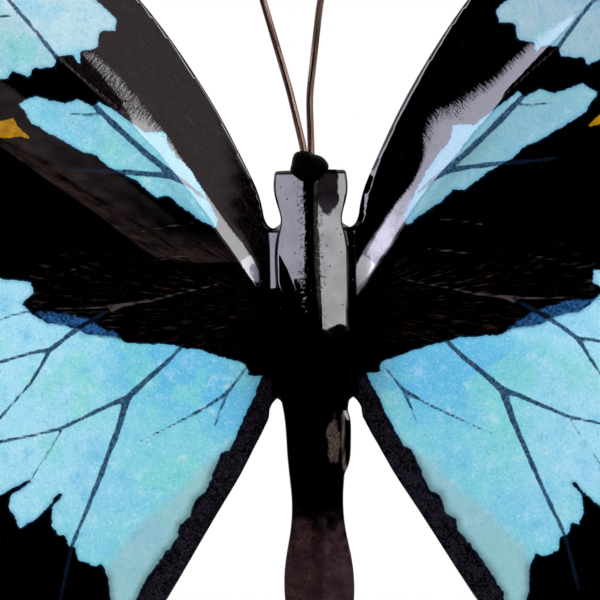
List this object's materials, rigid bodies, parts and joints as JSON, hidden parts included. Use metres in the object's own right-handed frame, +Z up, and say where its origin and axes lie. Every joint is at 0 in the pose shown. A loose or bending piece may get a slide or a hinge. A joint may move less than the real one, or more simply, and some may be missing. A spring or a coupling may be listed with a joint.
{
  "type": "butterfly wall ornament",
  "caption": "Butterfly wall ornament of folded, printed sheet-metal wings riveted behind a hollow pressed body, with wire antennae and a hanger at the back.",
  "frame": {"origin": "centre of the hanging hole, halfway through the hanger's tongue", "axes": "+Y into the wall along the hanging hole, +Z up towards the head, +X to the viewer's right across the wings"},
  "size_m": [0.227, 0.0366, 0.165],
  "materials": {
    "black_lacquered_steel": "gloss black lacquer",
    "printed_steel": "printed and clear lacquered",
    "copper_wire": "drawn copper wire, slightly darkened",
    "black_resin": "black resin, set glossy",
    "bare_steel": "zinc plated",
    "black_rubber": "moulded, matt"
  },
  "bodies": {
    "root": {"spine_plate": "black_lacquered_steel", "body_shell": "black_lacquered_steel", "forewing_left": "printed_steel", "forewing_right": "printed_steel", "hindwing_left": "printed_steel", "hindwing_right": "printed_steel", "antenna_left": "copper_wire", "antenna_right": "copper_wire", "antenna_resin_drop": "black_resin", "wing_rivets": "bare_steel", "hanger_bracket": "bare_steel", "hanger_rivets": "bare_steel", "wall_bumper": "black_rubber"}
  },
  "joints": []
}
